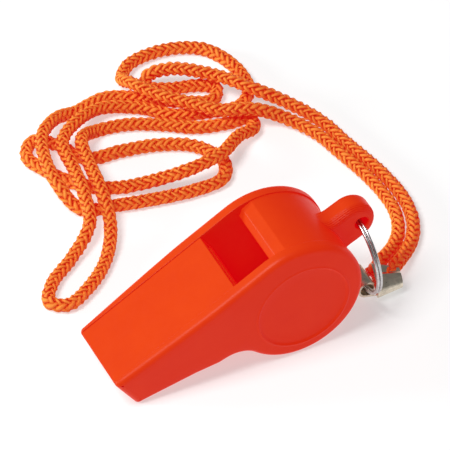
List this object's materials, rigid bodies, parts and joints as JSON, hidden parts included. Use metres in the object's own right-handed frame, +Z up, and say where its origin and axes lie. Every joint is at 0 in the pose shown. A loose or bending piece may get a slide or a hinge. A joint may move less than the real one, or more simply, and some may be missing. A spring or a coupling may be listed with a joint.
{
  "type": "pea whistle",
  "caption": "Moulded pea whistle with side covers and a loose pea, on a split ring, a sheet-metal crimp and a limp braided neck cord.",
  "frame": {"origin": "on the surface the whistle lies on, under the middle of the box round the whistle and ring, without the cord and crimp", "axes": "+Z up, +X from the mouthpiece towards the lug, +Y from the near cover towards the far cover"},
  "size_m": [0.0682, 0.0778, 0.024],
  "materials": {
    "orange_plastic": "moulded, satin gloss",
    "cork": "plain cork",
    "ring_steel": "bright nickel-plated wire",
    "tinned_sheet": "tin-plated sheet",
    "orange_cord": "braided multifilament polypropylene"
  },
  "bodies": {
    "lanyard": {"cord": "orange_cord", "crimp": "tinned_sheet"},
    "ring": {"split_ring": "ring_steel"},
    "whistle": {"body_shell": "orange_plastic", "near_cover": "orange_plastic", "far_cover": "orange_plastic"},
    "pea": {"pea": "cork"}
  },
  "joints": [
    {"name": "ring_swing", "type": "hinge", "parent": "lanyard", "child": "ring", "pos_m": [0.02421, 0, 0.00235], "axis": [0, 1, 0], "range_deg": [0, 60]},
    {"name": "whistle_swing", "type": "hinge", "parent": "ring", "child": "whistle", "pos_m": [0.02306, 0, 0.01811], "axis": [0, 1, 0], "range_deg": [0, 90]},
    {"name": "pea_roll", "type": "hinge", "parent": "whistle", "child": "pea", "pos_m": [0.00819, 0, 0.012], "axis": [0, 1, 0], "continuous": true}
  ]
}
